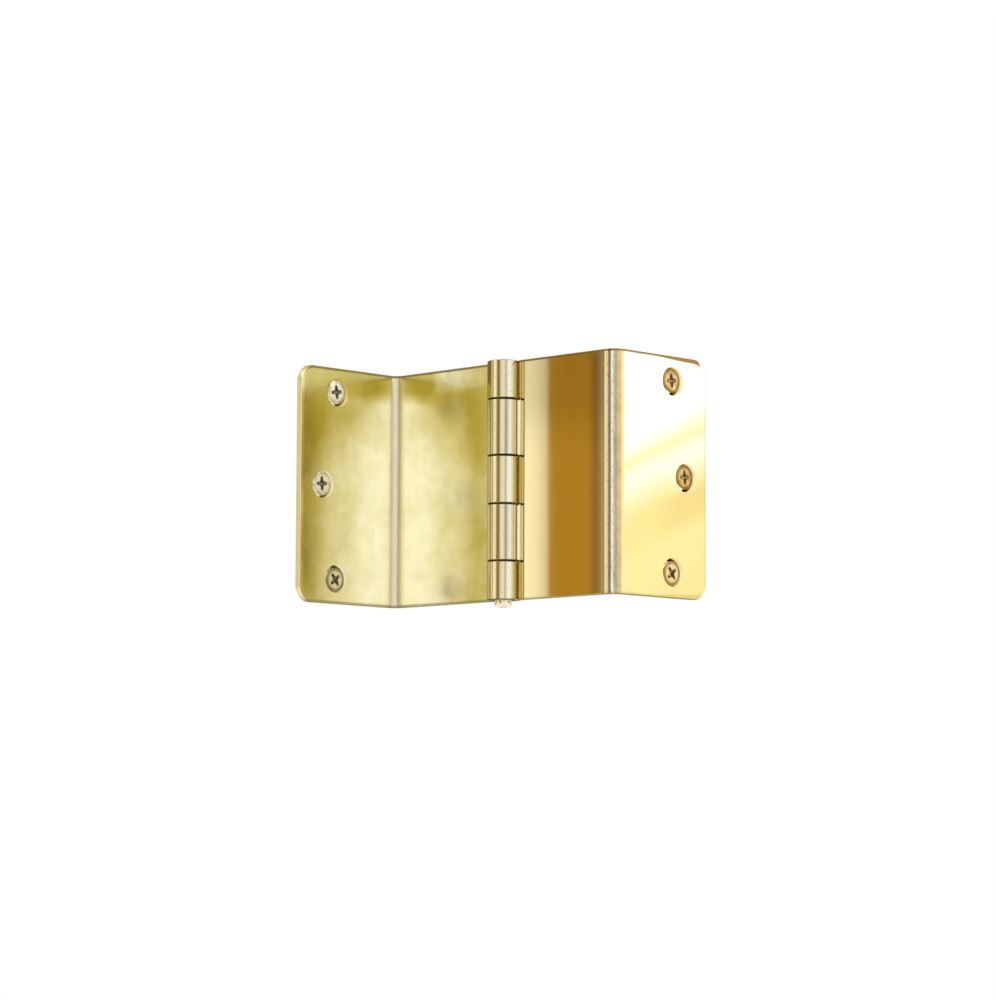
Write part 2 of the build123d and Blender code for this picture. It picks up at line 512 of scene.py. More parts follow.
def recess_cutter():
    """The cross recess as a solid: wide at its mouth, narrowing to a pointed floor."""
    bm = bmesh.new()
    rings = []
    for reach, half_width, height in RECESS_LEVELS:
        shoulder = min(half_width + RECESS_SHOULDER, reach * 0.8)
        side = half_width * 0.8
        ring = []
        for quarter in range(4):
            turn = Matrix.Rotation(math.radians(90 * quarter), 3, "Z")
            for x, y in ((reach, -side), (reach, side), (shoulder, shoulder)):
                ring.append(bm.verts.new(turn @ Vector((x, y, height))))
        rings.append(ring)
    count = len(rings[0])
    for high, low in zip(rings, rings[1:]):
        for k in range(count):
            j = (k + 1) % count
            bm.faces.new((high[k], low[k], low[j], high[j]))
    bm.faces.new(rings[0])
    bm.faces.new(rings[-1])
    bmesh.ops.recalc_face_normals(bm, faces=bm.faces)
    return bm


def screw_mesh():
    """The mesh of one screw with its recess cut."""
    body = object_of("screw_body", screw_body())
    cutter = object_of("recess_cutter", recess_cutter())
    cut = body.modifiers.new("recess", "BOOLEAN")
    cut.operation = "DIFFERENCE"
    cut.solver = "EXACT"
    cut.object = cutter
    bpy.context.view_layer.update()
    shown = body.evaluated_get(bpy.context.evaluated_depsgraph_get())
    mesh = bpy.data.meshes.new_from_object(shown)
    bpy.data.objects.remove(cutter)
    bpy.data.objects.remove(body)
    return mesh


def make_screws(name, face_x, free_edge):
    """Three screws of one leaf as one object. Each point keeps its place on its own screw, and a
    mark for painted shade if it is on the walls of the recess."""
    one = screw_mesh()
    bm = bmesh.new()
    recess_shade = bm.verts.layers.float.new("recess_shade")
    local = bm.verts.layers.float_vector.new("local")
    side = math.copysign(1, free_edge)
    outward = Matrix.Rotation(math.radians(90), 4, "Y")
    deepest, highest = RECESS_HEIGHTS
    for (inset, z), turn in zip(HOLES, HEAD_TURNS):
        before = len(bm.verts)
        bm.from_mesh(one)
        bm.verts.ensure_lookup_table()
        drift = HEAD_DRIFT if z >= 0 else -HEAD_DRIFT
        place = Vector((face_x - HEAD_DEPTH, free_edge - side * inset, z + drift))
        turned_to = outward @ Matrix.Rotation(math.radians(turn), 4, "Z")
        for vert in bm.verts[before:]:
            x, y, height = vert.co
            inside = math.hypot(x, y) < RECESS_RADIUS and deepest < height < highest
            vert[recess_shade] = 1.0 if inside else 0.0
            vert[local] = vert.co * MM
            vert.co = (turned_to @ vert.co + place + PIN_PLACE) * MM
    screws = object_of(name, bm)
    screws.data.shade_smooth()
    screws.data.set_sharp_from_angle(angle=math.radians(38))
    return screws


def node(tree, kind, inputs=None, **settings):
    """A shader node: its settings, and its inputs by name or place, as values or sockets."""
    made = tree.nodes.new(kind)
    for key, value in settings.items():
        setattr(made, key, value)
    for key, value in (inputs or {}).items():
        if isinstance(value, bpy.types.NodeSocket):
            tree.links.new(value, made.inputs[key])
        else:
            made.inputs[key].default_value = value
    return made


def math_node(operation, *values, clamp=False):
    """The result of a sum, in the tree of its first value that is a socket."""
    tree = next(value.id_data for value in values if isinstance(value, bpy.types.NodeSocket))
    inputs = dict(enumerate(values))
    made = node(tree, "ShaderNodeMath", inputs, operation=operation, use_clamp=clamp)
    return made.outputs[0]


def plus(first, second):
    return math_node("ADD", first, second)


def minus(first, second):
    return math_node("SUBTRACT", first, second)


def times(first, second):
    return math_node("MULTIPLY", first, second)


def larger(first, second):
    return math_node("MAXIMUM", first, second)


def size_of(value):
    return math_node("ABSOLUTE", value)


def remap(value, low, high, to_low=0.0, to_high=1.0, kind="SMOOTHSTEP"):
    """A value carried from one range to another, smoothly unless told otherwise."""
    inputs = {"Value": value, "From Min": low, "From Max": high}
    inputs.update({"To Min": to_low, "To Max": to_high})
    made = node(value.id_data, "ShaderNodeMapRange", inputs, interpolation_type=kind)
    return made.outputs[0]


def remap_linear(value, *limits):
    """A value carried evenly from one range to another."""
    return remap(value, *limits, kind="LINEAR")


def parts(vector):
    """The three values of a vector."""
    return node(vector.id_data, "ShaderNodeSeparateXYZ", {0: vector}).outputs


def length_of(x, y):
    """The length of a vector in a plane."""
    flat = node(x.id_data, "ShaderNodeCombineXYZ", {0: x, 1: y}).outputs[0]
    made = node(x.id_data, "ShaderNodeVectorMath", {0: flat}, operation="LENGTH")
    return made.outputs["Value"]


def noise(where, scale, detail=3.0, rough=0.5, stretch=None):
    """Noise, from a place in metres, stretched along its axes when asked."""
    tree = where.id_data
    if stretch:
        where = node(tree, "ShaderNodeMapping", {"Vector": where, "Scale": stretch}).outputs[0]
    inputs = {"Vector": where, "Scale": scale, "Detail": detail, "Roughness": rough}
    return node(tree, "ShaderNodeTexNoise", inputs).outputs[0]


def blend_colour(share, first, second):
    """Two colours mixed by a share."""
    inputs = {0: share}
    for place, colour in ((6, first), (7, second)):
        inputs[place] = (*colour, 1) if isinstance(colour, tuple) else colour
    return node(share.id_data, "ShaderNodeMix", inputs, data_type="RGBA").outputs[2]


def ramp_node(value, stops):
    """A colour ramp with stops of (place, colour and share): its colour and its share."""
    made = node(value.id_data, "ShaderNodeValToRGB", {0: value})
    elements = made.color_ramp.elements
    while len(elements) < len(stops):
        elements.new(0.5)
    for element, (place, colour) in zip(elements, stops):
        element.position = place
        element.color = colour if len(colour) == 4 else (*colour, 1)
    return made.outputs[0], made.outputs[1]


def new_material(name):
    """A material with an empty tree."""
    material = bpy.data.materials.new(name)
    material.use_nodes = True
    material.node_tree.nodes.clear()
    return material, material.node_tree


def send_out(result, kind="ShaderNodeOutputMaterial"):
    """Makes a shader the one that its tree gives."""
    node(result.id_data, kind, {0: result})


def finish_metal(tree, colour, gloss, normal):
    """Completes a metal's tree with its colour, roughness and bumped facing."""
    inputs = {"Metallic": 1.0, "Base Color": colour, "Roughness": gloss, "Normal": normal}
    send_out(node(tree, "ShaderNodeBsdfPrincipled", inputs).outputs[0])


def attribute(tree, name, output="Vector"):
    """What a mesh attribute holds."""
    return node(tree, "ShaderNodeAttribute", attribute_name=name).outputs[output]


def bumped(height, distance, before=None):
    """A bump of a real height in metres over what was bumped before."""
    inputs = {"Height": height, "Distance": distance, "Strength": 1.0}
    if before is not None:
        inputs["Normal"] = before
    return node(height.id_data, "ShaderNodeBump", inputs).outputs[0]


# Zones of the leaves' finish as (start, end) or (start, end, value before, value after). They
# are in metres away from the fold, along the sheet from its free edge, or up from its middle.
# The dimming is partly tarnished brass, partly painted reflection of the other panel and painted
# shade towards the top
DIM_AWAY = (0.013, 0.038, 0.0, 0.42)
DIM_FAR = (0.036, 0.045, 0.0, 0.4)
DIM_HIGH = (0.006, 0.033, 0.0, 0.55)
DIM_HIGH_AWAY = (0.003, 0.023)
DIM_TOP = (0.032, 0.04, 0.0, 0.85)
DIM_TOP_ALONG = (0.075, 0.065)
PALER_BARREL = (0.067, 0.076)
PALER_EDGE = (0.013, 0.009)
PALER_UP = (0.0345, 0.0375)
PALER_SHARE = 0.4
CLOUD_SHARE = 1.1
PATCH_SHARE = 0.5
FOLD_REACH = 0.006
FOLD_AWAY = (0.0036, 0.0024)
CROWN_MIDDLE = 0.0006
CROWN_AWAY = (0.0022, 0.0012)
ROLL_LEAD = 0.004
ROLL_LENGTH = 0.03
CREASE_BLEND = 0.002
CREASE_END = 0.0006
# The border is partly abraded plating, partly a painted reflection of the rounded edges
BORDER_ALONG = (0.03, 0.004)
BORDER_UP = (0.03, 0.038)
BORDER_START = (0.002, 0.0045)
BORDER_FADE = 0.0004
BORDER_SWAY = -0.0003
FREE_FADE = 0.0012
GAP_SHADE_START = 0.0014
UNDERSIDE_UP = (-0.0434, -0.0442)

# Noise as (scale, detail, roughness)
CLOUD_NOISE = (55.0, 4.0, 0.6)
PATCH_NOISE = (150.0, 3.0, 0.6)
SPECK_NOISE = (900.0, 3.0, 0.65)
PIT_NOISE = (1500.0, 2.0, 0.6)
GRAIN_NOISE = (1200.0, 2.0, 0.5)
WAVE_NOISE = (38.0, 1.0, 0.4)
STREAK_NOISE = (1.0, 2.0, 0.6)
SMEAR_NOISE = (1.0, 3.0, 0.55)

# What both leaves share, with heights in metres
SPECK_TINT = (0.5, 0.44, 0.3)
MARK_TINT = (0.12, 0.1, 0.06)
NICK_TINT = (0.36, 0.32, 0.24)
# Painted shade in the gaps between knuckles, and a painted shadow under the barrel
GAP_SHADE_TINT = (0.24, 0.16, 0.07)
UNDERSIDE_SHADOW_TINT = (0.03, 0.02, 0.01)
ROLL_GLOSS = (0.07, 0.12)
GRAIN_HEIGHT = 0.0000003
PIT_HEIGHT = 0.000006
STRETCH_HEIGHT = 0.00001


def edge_distance(along, up):
    """How far a point of a leaf is from its outline, up to the radius of its corners."""
    radius = CORNER_RADIUS * MM
    inset = larger(minus(radius, along), 0.0)
    over = minus(size_of(up), (HALF_HEIGHT - CORNER_RADIUS) * MM)
    return minus(radius, length_of(inset, larger(over, 0.0)))


def leaf_tarnish_and_reflection(along, up, away, clouds, patches, look):
    """How dark a leaf is painted, partly tarnished brass and partly painted reflection of the
    other panel with painted shade at the top: more with the distance from the fold and near the
    top, in soft clouds, and less in paler patches at the top."""
    reach = remap_linear(away, *DIM_AWAY)
    reach = plus(reach, remap(away, *DIM_FAR))
    high = remap(up, *DIM_HIGH)
    high = times(high, remap_linear(away, *DIM_HIGH_AWAY))
    top = times(remap(up, *DIM_TOP), remap(along, *DIM_TOP_ALONG))
    dim = plus(plus(reach, high), top)
    paler = plus(remap(along, *PALER_BARREL), remap(along, *PALER_EDGE))
    paler = times(paler, remap(up, *PALER_UP))
    dim = times(dim, minus(1.0, times(paler, PALER_SHARE)))
    dim = times(dim, look["tarnish_and_reflection"])
    for cloud, share in ((clouds, CLOUD_SHARE), (patches, PATCH_SHARE)):
        swing = minus(cloud, 0.5)
        dim = plus(dim, times(swing, share * look["cloud"]))
    return larger(math_node("MINIMUM", dim, 1.0), 0.0)


def roll_colour(flat, along, roll, on_roll, look, colour):
    """The colour with painted reflection stripes round the roll over it, and its specks."""
    place = remap_linear(along, roll, roll + ROLL_LENGTH)
    stops = [(at * MM / ROLL_LENGTH, tint) for at, tint in look["roll"]]
    colour = blend_colour(on_roll, colour, ramp_node(place, stops)[0])
    specks = remap(noise(flat, *SPECK_NOISE), 0.5, 0.68, 0.0, 0.32)
    return blend_colour(times(specks, on_roll), colour, SPECK_TINT)


def fold_colour(flat, ahead, patches, lines, look, colour):
    """The colour with painted reflection bands, light and dark, across the fold over it, and its
    dark stretch marks and nicks. Also the marks' share."""
    place = remap_linear(ahead, -FOLD_REACH, FOLD_REACH)
    stops = []
    for at, tint, share in look["fold"]:
        stops.append(((at * MM / FOLD_REACH + 1) / 2, (*tint, share)))
    tint, share = ramp_node(place, stops)
    spread = remap(patches, 0.3, 0.65, 1.0, 0.8)
    colour = blend_colour(times(share, spread), colour, tint)
    crown = remap(size_of(minus(ahead, CROWN_MIDDLE)), *CROWN_AWAY)
    marks = times(remap(lines, 0.6, 0.68), crown)
    colour = blend_colour(times(marks, look["marks"]), colour, MARK_TINT)
    short_lines = noise(flat, *STREAK_NOISE, stretch=(2200.0, 450.0, 1.0))
    nicks = times(remap(short_lines, 0.54, 0.64), crown)
    return blend_colour(times(nicks, look["nicks"]), colour, NICK_TINT), marks


def crease_shade_share(along, step, roll, end, patches, look):
    """Where painted shade darkens the leaf: in the crease on which the roll closes, and at the
    roll's end.
    """
    start = step + look["crease_start"]
    stepped = remap(along, start, start + CREASE_BLEND)
    stepped = times(stepped, remap(along, roll + CREASE_BLEND, roll))
    closed = remap(along, end - CREASE_BLEND, end - CREASE_END)
    crease = larger(stepped, closed)
    return times(crease, remap(patches, 0.2, 0.6, 0.75, 1.0))


def rim_band_share(along, up, roll, edge, patches, look):
    """Where a leaf's rims and a border just inside them are darkened, partly as abraded edges and
    partly as a painted reflection of the rounded edges.
    """
    inside = plus(edge_distance(along, up), times(patches, BORDER_SWAY))
    width = remap(along, *BORDER_ALONG, look["inner_border"], look["border"])
    over = minus(width, inside)
    border = math_node("MULTIPLY", over, 1 / BORDER_FADE, clamp=True)
    border = times(border, remap(up, *BORDER_UP, look["lower_border"], 1.0))
    darkened = larger(edge, border)
    darkened = times(darkened, remap(along, roll, roll - ROLL_LEAD))
    return times(darkened, remap(along, *BORDER_START))


def leaf_normal(flat, lines, on_roll, on_fold, look):
    """A leaf's slight waves and grain, the roll's pits and the stretch marks on the fold."""
    wave = bumped(noise(flat, *WAVE_NOISE), look["wave"])
    grain = bumped(noise(flat, *GRAIN_NOISE), GRAIN_HEIGHT, wave)
    pits = times(noise(flat, *PIT_NOISE), on_roll)
    pitted = bumped(pits, PIT_HEIGHT, grain)
    return bumped(times(lines, on_fold), STRETCH_HEIGHT, pitted)


def leaf_brass(name, look, panel, step, roll, end):
    """Polished plate over bent steel. The places are lengths along the sheet in metres: where
    the fold's middle, the step, the roll and the roll's end are."""
    material, tree = new_material(name)
    flat = attribute(tree, "flat")
    edge = attribute(tree, "rim", "Fac")
    along, up = parts(flat)[:2]
    clouds = noise(flat, *CLOUD_NOISE)
    patches = noise(flat, *PATCH_NOISE)
    lines = noise(flat, *STREAK_NOISE, stretch=(2600.0, 70.0, 1.0))
    ahead = minus(along, panel)
    away = size_of(ahead)
    on_fold = remap(away, *FOLD_AWAY)
    on_roll = remap(along, roll - ROLL_LEAD, roll)

    # Darker away from the fold and at the top: partly tarnished brass, partly painted reflection
    # and painted shade
    dim = leaf_tarnish_and_reflection(along, up, away, clouds, patches, look)
    colour = blend_colour(dim, look["pale"], look["deep"])
    # Painted reflection stripes round the roll
    colour = roll_colour(flat, along, roll, on_roll, look, colour)
    # Painted reflection bands across the fold, then its stretch marks and nicks
    colour, marks = fold_colour(flat, ahead, patches, lines, look, colour)
    # Painted shade in the crease where the roll closes on the step
    crease = crease_shade_share(along, step, roll, end, patches, look)
    colour = blend_colour(crease, colour, look["crease"])
    # Rims and the border inside them darkened: partly abraded, partly painted reflection
    darkened = rim_band_share(along, up, roll, edge, patches, look)
    colour = blend_colour(darkened, colour, look["rim"])
    free = remap(along, look["free_width"], look["free_width"] - FREE_FADE)
    colour = blend_colour(free, colour, look["free_edge"])

    # The knuckles' ends get painted shade for the gaps between knuckles, and a darker painted
    # shadow under the bottom knuckle
    gap_shade = times(edge, on_roll)
    gap_shade = times(gap_shade, remap(along, end - CREASE_END, end - GAP_SHADE_START))
    colour = blend_colour(gap_shade, colour, GAP_SHADE_TINT)
    underside_shadow = times(gap_shade, remap(up, *UNDERSIDE_UP))
    colour = blend_colour(underside_shadow, colour, UNDERSIDE_SHADOW_TINT)

    # Hazed where tarnished, bright on the rolls
    smear = noise(flat, *SMEAR_NOISE, stretch=(240.0, 60.0, 60.0))
    gloss = remap(smear, 0.3, 0.75, *look["gloss"])
    rolled = remap(smear, 0.3, 0.75, *ROLL_GLOSS)
    gloss = node(tree, "ShaderNodeMix", {0: on_roll, 2: gloss, 3: rolled}).outputs[0]
    haze = ((on_fold, look["fold_haze"]), (darkened, 0.12), (marks, 0.12), (gap_shade, 0.3), (crease, 0.12))
    for mark, share in haze:
        gloss = plus(gloss, times(mark, share))
    normal = leaf_normal(flat, lines, on_roll, on_fold, look)
    finish_metal(tree, colour, gloss, normal)
    return material


def pin_brass(name):
    """The pin's brass: turning marks round it and a scuffed tip."""
    material, tree = new_material(name)
    place = node(tree, "ShaderNodeTexCoord").outputs["Object"]
    rings = noise(place, 1.0, 2.0, 0.5, stretch=(60.0, 60.0, 2400.0))
    scuffs = noise(place, 700.0, 3.0, 0.6)
    scuffed = remap(scuffs, 0.4, 0.7)
    colour = blend_colour(scuffed, (0.95, 0.88, 0.65), (0.8, 0.7, 0.44))
    gloss = remap(scuffs, 0.3, 0.7, 0.14, 0.24)
    finish_metal(tree, colour, gloss, bumped(rings, 0.000002))
    return material


# Zones of the screws' finish: metres up from the hinge's middle, or out from a screw's axis
# The bottom screw is painted in another colour, and its ring as a painted shadow, as light falls
# there
LOWEST_SCREW = (-0.012, -0.028, 0.0, 0.8)
HEAD_RING = (0.0028, 0.0039)
DENT_HEIGHT = 0.00003
SPOT_HEIGHT = 0.000003


def screw_brass(name, look):
    """Plated screws: a clouded face, a darker ring round the head, and painted shade in the
    recess. The bottom screw is painted in another colour with a painted shadow ring, as light
    falls on it there."""
    material, tree = new_material(name)
    recess_shade = attribute(tree, "recess_shade", "Fac")
    place = node(tree, "ShaderNodeTexCoord").outputs["Object"]
    clouds = noise(place, 380.0, 3.0, 0.6)
    specks = noise(place, 2200.0, 2.0, 0.6)
    lowest = remap(parts(place)[2], *LOWEST_SCREW)
    x, y = parts(attribute(tree, "local"))[:2]
    ring = remap(length_of(x, y), *HEAD_RING)
    ring_share = remap(clouds, 0.3, 0.6, look["ring_share"], 1.0)
    ring = times(ring, larger(ring_share, lowest))
    ring_tint = blend_colour(lowest, look["ring"], look["low_ring"])
    spots = times(remap(specks, 0.6, 0.7), look["spots"])
    # Painted shade in the recess
    darkened = times(recess_shade, remap(specks, 0.25, 0.6, 0.75, 1.0))
    colour = blend_colour(remap(clouds, 0.38, 0.62), look["pale"], look["deep"])
    colour = blend_colour(lowest, colour, look["lowest"])
    colour = blend_colour(ring, colour, ring_tint)
    colour = blend_colour(spots, colour, look["groove"])
    colour = blend_colour(darkened, colour, look["groove"])
    gloss = remap(clouds, 0.3, 0.7, look["haze"], look["haze"] + 0.1)
    gloss = plus(gloss, times(darkened, 0.2))
    normal = bumped(specks, SPOT_HEIGHT, bumped(clouds, DENT_HEIGHT))
    finish_metal(tree, colour, gloss, normal)
    return material


# Looks. A roll's painted reflection stripes are by millimetres from its start, and a fold's
# painted reflection bands by millimetres from its middle, each with its share. Widths are in
# metres.
JAMB_LOOK = {
    "pale": (0.95, 0.84, 0.47),
    "deep": (0.85, 0.68, 0.3),
    "roll": (
        (14.0, (0.72, 0.62, 0.38)),
        (15.2, (0.42, 0.3, 0.1)),
        (17.0, (0.46, 0.34, 0.13)),
        (18.3, (0.84, 0.74, 0.44)),
        (20.3, (1.0, 0.95, 0.68)),
        (21.2, (0.7, 0.6, 0.35)),
        (24.1, (0.8, 0.71, 0.47)),
        (25.1, (0.72, 0.64, 0.45)),
        (26.2, (0.62, 0.56, 0.38)),
        (27.2, (0.82, 0.76, 0.5)),
    ),
    "crease": (0.69, 0.57, 0.25),
    "rim": (0.32, 0.17, 0.03),
    "inner_border": 0.0009,
    "border": 0.0018,
    "lower_border": 0.25,
    "free_width": 0.0014,
    "free_edge": (0.8, 0.7, 0.4),
    "marks": 0.5,
    "nicks": 0.6,
    "crease_start": 0.0002,
    "fold": (
        (-6.0, (0.93, 0.84, 0.5), 0.0),
        (-3.4, (0.93, 0.84, 0.46), 0.7),
        (-2.1, (0.88, 0.7, 0.36), 1.0),
        (-1.7, (0.68, 0.38, 0.09), 1.0),
        (-0.95, (0.64, 0.36, 0.08), 1.0),
        (-0.65, (0.52, 0.48, 0.34), 1.0),
        (0.4, (0.5, 0.46, 0.33), 1.0),
        (0.65, (0.97, 0.95, 0.86), 1.0),
        (1.8, (0.93, 0.88, 0.76), 1.0),
        (2.4, (0.72, 0.65, 0.48), 0.9),
        (3.5, (0.8, 0.68, 0.4), 0.0),
    ),
    "fold_haze": 0.06,
    "tarnish_and_reflection": 0.08,
    "cloud": 0.3,
    "gloss": (0.03, 0.045),
    "wave": 0.000002,
}
# The door leaf's pale end is a painted highlight near the fold, and its olive deep end partly
# tarnished brass, partly painted reflection
DOOR_LOOK = {
    "pale": (1.0, 0.97, 0.76),
    "deep": (0.635, 0.545, 0.15),
    "roll": (
        (5.0, (0.8, 0.72, 0.48)),
        (7.0, (0.97, 0.92, 0.75)),
        (10.9, (1.0, 1.0, 0.97)),
        (11.3, (0.8, 0.71, 0.5)),
        (11.9, (0.66, 0.56, 0.36)),
        (12.9, (0.78, 0.68, 0.46)),
        (13.9, (0.5, 0.41, 0.24)),
        (15.1, (0.76, 0.68, 0.48)),
        (16.0, (0.75, 0.65, 0.41)),
        (16.7, (0.94, 0.86, 0.62)),
        (18.2, (0.86, 0.77, 0.47)),
        (19.4, (0.58, 0.45, 0.24)),
        (21.5, (0.48, 0.36, 0.19)),
    ),
    "crease": (0.52, 0.4, 0.16),
    "rim": (0.3, 0.22, 0.07),
    "inner_border": 0.001,
    "border": 0.0011,
    "lower_border": 0.6,
    "free_width": 0.0022,
    "free_edge": (0.86, 0.75, 0.37),
    "marks": 0.25,
    "nicks": 0.15,
    "crease_start": 0.0008,
    "fold": (
        (-4.2, (1.0, 0.97, 0.72), 0.0),
        (-3.5, (0.74, 0.66, 0.38), 0.3),
        (-2.8, (0.78, 0.7, 0.46), 1.0),
        (-1.2, (0.84, 0.74, 0.55), 1.0),
        (0.6, (0.82, 0.73, 0.53), 1.0),
        (2.0, (0.78, 0.68, 0.42), 1.0),
        (3.0, (0.76, 0.67, 0.4), 1.0),
        (5.6, (0.8, 0.7, 0.42), 0.0),
    ),
    "fold_haze": 0.24,
    "tarnish_and_reflection": 1.0,
    "cloud": 1.0,
    "gloss": (0.18, 0.25),
    "wave": 0.000008,
}
JAMB_SCREW_LOOK = {
    "pale": (0.85, 0.56, 0.21),
    "deep": (0.58, 0.34, 0.08),
    "lowest": (0.92, 0.76, 0.48),
    "ring": (0.3, 0.16, 0.02),
    "low_ring": (0.42, 0.24, 0.06),
    "ring_share": 0.85,
    "groove": (0.3, 0.25, 0.13),
    "spots": 0.2,
    "haze": 0.18,
}
# The door side's screws are painted near white, a painted highlight from the bright room round
# them
DOOR_SCREW_LOOK = {
    "pale": (1.0, 0.98, 0.93),
    "deep": (0.92, 0.86, 0.7),
    "lowest": (0.82, 0.7, 0.4),
    "ring": (0.6, 0.48, 0.26),
    "low_ring": (0.2, 0.14, 0.04),
    "ring_share": 0.1,
    "groove": (0.24, 0.2, 0.12),
    "spots": 0.4,
    "haze": 0.36,
}

# The camera of the photograph: a fitted direction, roll and focal length in pixels
FRAME_WIDTH, FRAME_HEIGHT = 996, 1000
FOCAL_PIXELS = 3515.0
CAMERA_AZIMUTH = math.radians(44.5)
CAMERA_ELEVATION = math.radians(-6.08)
CAMERA_ROLL = math.radians(0.2)
CAMERA_DISTANCE = 1300.0
PIN_PIXEL = (503.7, 480.6)
SENSOR = 36.0


def camera_axes():
    """Right, up and back of the camera, and its place about the pin in millimetres."""
    turn, rise = CAMERA_AZIMUTH, CAMERA_ELEVATION
    back = Vector(
        (math.sin(turn) * math.cos(rise), -math.cos(turn) * math.cos(rise), math.sin(rise))
    )
    level = Vector((math.cos(turn), math.sin(turn), 0))
    upright = back.cross(level)
    right = math.cos(CAMERA_ROLL) * level + math.sin(CAMERA_ROLL) * upright
    up = math.cos(CAMERA_ROLL) * upright - math.sin(CAMERA_ROLL) * level
    return right, up, back, back * CAMERA_DISTANCE


def make_camera():
    """The photograph's camera, its lens shifted so that the pin's middle is on its pixel."""
    right, up, back, place = camera_axes()
    data = bpy.data.cameras.new("camera")
    data.sensor_width = SENSOR
    data.lens = SENSOR * FOCAL_PIXELS / max(FRAME_WIDTH, FRAME_HEIGHT)
    data.shift_x = (FRAME_WIDTH / 2 - PIN_PIXEL[0]) / FRAME_HEIGHT
    data.shift_y = (PIN_PIXEL[1] - FRAME_HEIGHT / 2) / FRAME_HEIGHT
    data.clip_start = 0.05
    data.clip_end = 50.0
    camera = bpy.data.objects.new("camera", data)
    turn = Matrix((right, up, back)).transposed().to_4x4()
    camera.matrix_world = Matrix.Translation((place + PIN_PLACE) * MM) @ turn
    bpy.context.scene.collection.objects.link(camera)
    bpy.context.scene.camera = camera


def mirrored_ray(pixel, axis, plane):
    """Where the camera's ray through a pixel meets a flat face, and how it leaves it."""
    right, up, back, eye = camera_axes()
    ray = (
        right * ((pixel[0] - PIN_PIXEL[0]) / FOCAL_PIXELS)
        + up * ((PIN_PIXEL[1] - pixel[1]) / FOCAL_PIXELS)
        - back
    )
    share = (plane - eye[axis]) / ray[axis]
    hit = eye + ray * share
    ray[axis] = -ray[axis]
    return hit, ray.normalized()


def make_card(name, axis, plane, pixels, distance, material):
    """A reflector that a flat face mirrors to the camera inside a box of pixels, given as its
    left, right, top and bottom."""
    left, right, top, bottom = pixels
    middle = ((left + right) / 2, (top + bottom) / 2)
    hit, aim = mirrored_ray(middle, axis, plane)
    centre = hit + aim * distance
    corners = []
    for pixel in ((left, bottom), (right, bottom), (right, top), (left, top)):
        start, ray = mirrored_ray(pixel, axis, plane)
        corners.append(start + ray * ((centre - start).dot(aim) / ray.dot(aim)))
    bm = bmesh.new()
    uv = bm.loops.layers.uv.new("across")
    face = bm.faces.new([bm.verts.new((corner + PIN_PLACE) * MM) for corner in corners])
    for loop, place in zip(face.loops, ((0, 0), (1, 0), (1, 1), (0, 1))):
        loop[uv].uv = place
    card = object_of(name, bm)
    card.data.materials.append(material)
    for ray in ("camera", "diffuse", "shadow", "transmission"):
        setattr(card, "visible_" + ray, False)


def glow_with(colour):
    """Completes a card's tree with the colour in which it glows."""
    send_out(node(colour.id_data, "ShaderNodeEmission", {0: colour}).outputs[0])


# What the right-hand inner panel mirrors, by the photograph's columns
BOARD_PIXELS = (505, 625, 340, 620)
BOARD_DISTANCE = 260.0
BOARD = (
    (507, (1.04, 1.02, 0.98)),
    (530, (1.04, 1.01, 0.96)),
    (538, (0.93, 0.88, 0.79)),
    (546.5, (0.74, 0.66, 0.57)),
    (549.5, (0.47, 0.27, 0.05)),
    (556, (0.44, 0.24, 0.03)),
    (589, (0.445, 0.245, 0.032)),
    (592, (0.325, 0.178, 0.032)),
    (597.5, (0.25, 0.15, 0.05)),
    (600.5, (0.34, 0.26, 0.14)),
    (604, (0.48, 0.42, 0.27)),
    (607, (0.5, 0.45, 0.3)),
)

# What the right-hand outer panel mirrors, from the bottom of its card to the top
WINDOW_PIXELS = (596, 730, 320, 640)
WINDOW_DISTANCE = 110.0
WINDOW_SLOPE = -0.222
WINDOW_SWAY = 0.05
WINDOW = (
    (0.0, (1.04, 1.01, 0.72)),
    (0.17, (1.05, 1.07, 0.82)),
    (0.235, (1.04, 1.01, 0.71)),
    (0.3, (1.04, 1.0, 0.69)),
    (0.335, (1.05, 1.06, 0.82)),
    (0.38, (1.07, 1.17, 1.25)),
    (0.43, (1.15, 1.25, 1.8)),
    (0.462, (1.12, 1.2, 1.55)),
    (0.488, (1.06, 1.15, 1.05)),
    (0.515, (1.12, 1.22, 1.5)),
    (0.56, (1.3, 1.4, 2.15)),
    (1.0, (1.3, 1.4, 2.2)),
)


def board_card():
    """A pale wall, then a tan board that darkens to its top."""
    left, right = BOARD_PIXELS[:2]
    material, tree = new_material("tan_board")
    place = node(tree, "ShaderNodeUVMap", uv_map="across").outputs[0]
    across, up = parts(place)[:2]
    stops = [((column - left) / (right - left), tint) for column, tint in BOARD]
    walls = ramp_node(across, stops)[0]
    shade = remap(up, 0.58, 0.82, 1.0, 0.76)
    lit = node(tree, "ShaderNodeVectorMath", {0: walls, 3: shade}, operation="SCALE")
    glow_with(lit.outputs[0])
    make_card("tan_board", 1, SWAGE, BOARD_PIXELS, BOARD_DISTANCE, material)


def window_card():
    """A bright window over a warm table, with a peach patch on it."""
    material, tree = new_material("window")
    place = node(tree, "ShaderNodeUVMap", uv_map="across").outputs[0]
    across, up = parts(place)[:2]
    sway = minus(noise(place, 3.0, 2.0, 0.5), 0.5)
    height = plus(up, times(across, WINDOW_SLOPE))
    height = plus(height, times(sway, WINDOW_SWAY))
    light = ramp_node(height, WINDOW)[0]
    low = times(remap(height, 0.19, 0.25), remap(height, 0.35, 0.3))
    peach = times(low, remap(across, 0.42, 0.62, 0.0, 0.85))
    glow_with(blend_colour(peach, light, (1.02, 0.9, 0.6)))
    make_card("window", 0, JAMB_REACH, WINDOW_PIXELS, WINDOW_DISTANCE, material)


